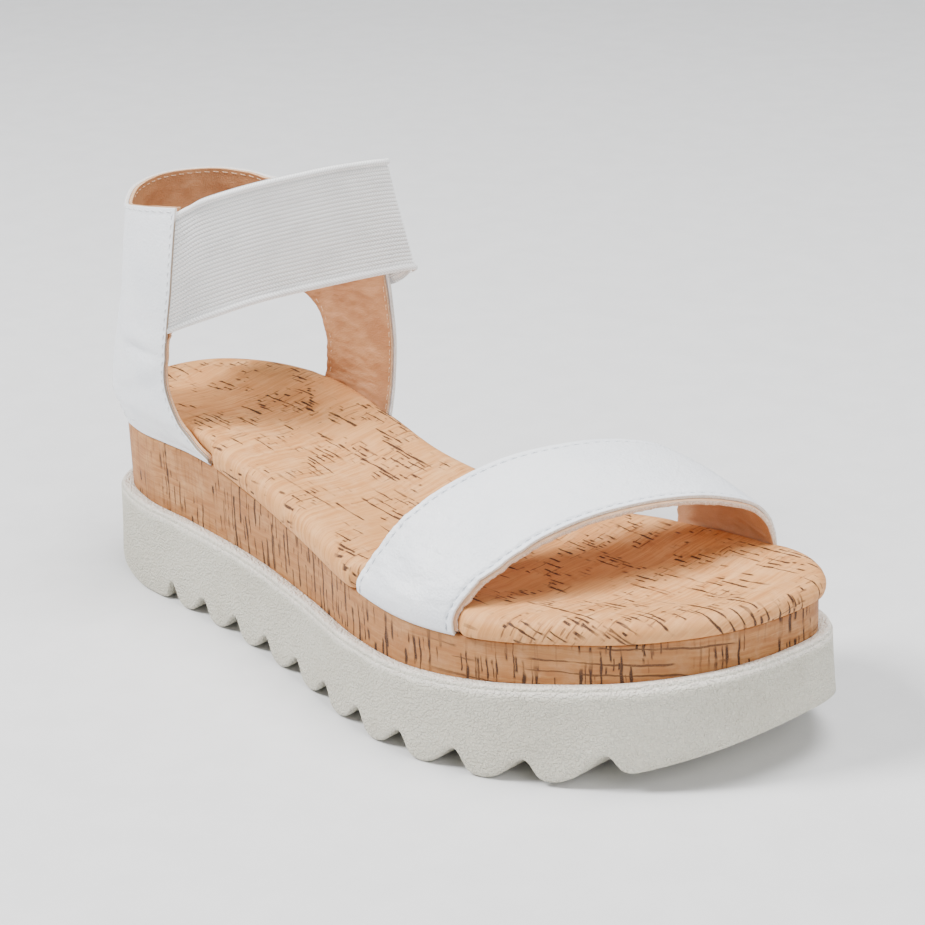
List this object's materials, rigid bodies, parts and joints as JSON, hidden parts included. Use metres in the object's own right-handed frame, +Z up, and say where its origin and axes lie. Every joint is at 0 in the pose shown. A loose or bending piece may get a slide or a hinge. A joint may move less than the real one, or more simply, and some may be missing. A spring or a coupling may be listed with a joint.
{
  "type": "platform wedge sandal",
  "caption": "Right-foot platform wedge sandal with a saw-tooth foam sole, cork-covered footbed, leather toe strap and an elastic-fronted ankle collar.",
  "frame": {"origin": "on the ground, under the centre of the sole's outline box", "axes": "+X to the toe, +Y to the inner (medial) side of the foot, +Z up"},
  "size_m": [0.2658, 0.102, 0.142],
  "materials": {
    "outsole_foam": "pebbled off-white moulded foam",
    "midsole_foam": "plain foam, hidden",
    "cork": "flecked cork sheet",
    "board": "plain fibre board, hidden",
    "white_leather": "smooth white leather",
    "tape": "woven reinforcement, hidden",
    "tan_lining": "soft tan lining",
    "elastic": "ribbed white elastic",
    "thread": "white sewing thread"
  },
  "bodies": {
    "sandal_base": {"outsole": "outsole_foam", "midsole_core": "midsole_foam", "midsole_cork_band": "cork", "insole_board": "board", "footbed_foam": "midsole_foam", "footbed_cork_cover": "cork", "vamp_outer": "white_leather", "vamp_tape": "tape", "vamp_lining": "tan_lining", "vamp_rear_stitching": "thread", "vamp_front_stitching": "thread", "lateral_leg_tab": "white_leather", "medial_leg_tab": "white_leather"},
    "ankle_collar": {"collar_outer": "white_leather", "collar_tape": "tape", "collar_lining": "tan_lining", "collar_top_stitching": "thread", "collar_arch_stitching": "thread", "lateral_edge_stitching": "thread", "medial_edge_stitching": "thread", "elastic_stitching": "thread"},
    "elastic_front": {"elastic_band": "elastic"}
  },
  "joints": [
    {"name": "ankle_collar_tilt", "type": "hinge", "parent": "sandal_base", "child": "ankle_collar", "pos_m": [-0.08, 0.002, 0.062], "axis": [0, 1, 0], "range_deg": [-6, 12], "stiffness_Nm_per_rad": 0.6, "deforming": ["lateral_leg_tab", "medial_leg_tab"]},
    {"name": "elastic_stretch", "type": "slide", "parent": "ankle_collar", "child": "elastic_front", "axis": [1, 0, 0], "range_m": [0, 0.012], "stiffness_N_per_m": 600, "deforming": ["elastic_band"]}
  ]
}
